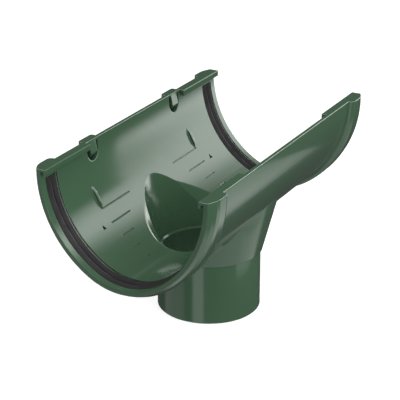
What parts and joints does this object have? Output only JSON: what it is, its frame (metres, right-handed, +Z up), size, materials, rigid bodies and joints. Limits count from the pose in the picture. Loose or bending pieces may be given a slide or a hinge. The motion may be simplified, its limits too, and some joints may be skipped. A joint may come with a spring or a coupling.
{
  "type": "gutter outlet",
  "caption": "Half-round gutter running outlet: open trough with sealed collars at both ends and a funnel down into a round spigot.",
  "frame": {"origin": "centre of the spigot's lower end, where the part rests", "axes": "+X along the trough, +Y towards the rear (wall) side with the clips, +Z up along the spigot's axis"},
  "size_m": [0.267, 0.1472, 0.1475],
  "materials": {
    "green_plastic": "smooth moulded gloss",
    "seal_rubber": "satin"
  },
  "bodies": {
    "root": {"outlet_body": "green_plastic", "left_seal": "seal_rubber", "right_seal": "seal_rubber"}
  },
  "joints": []
}
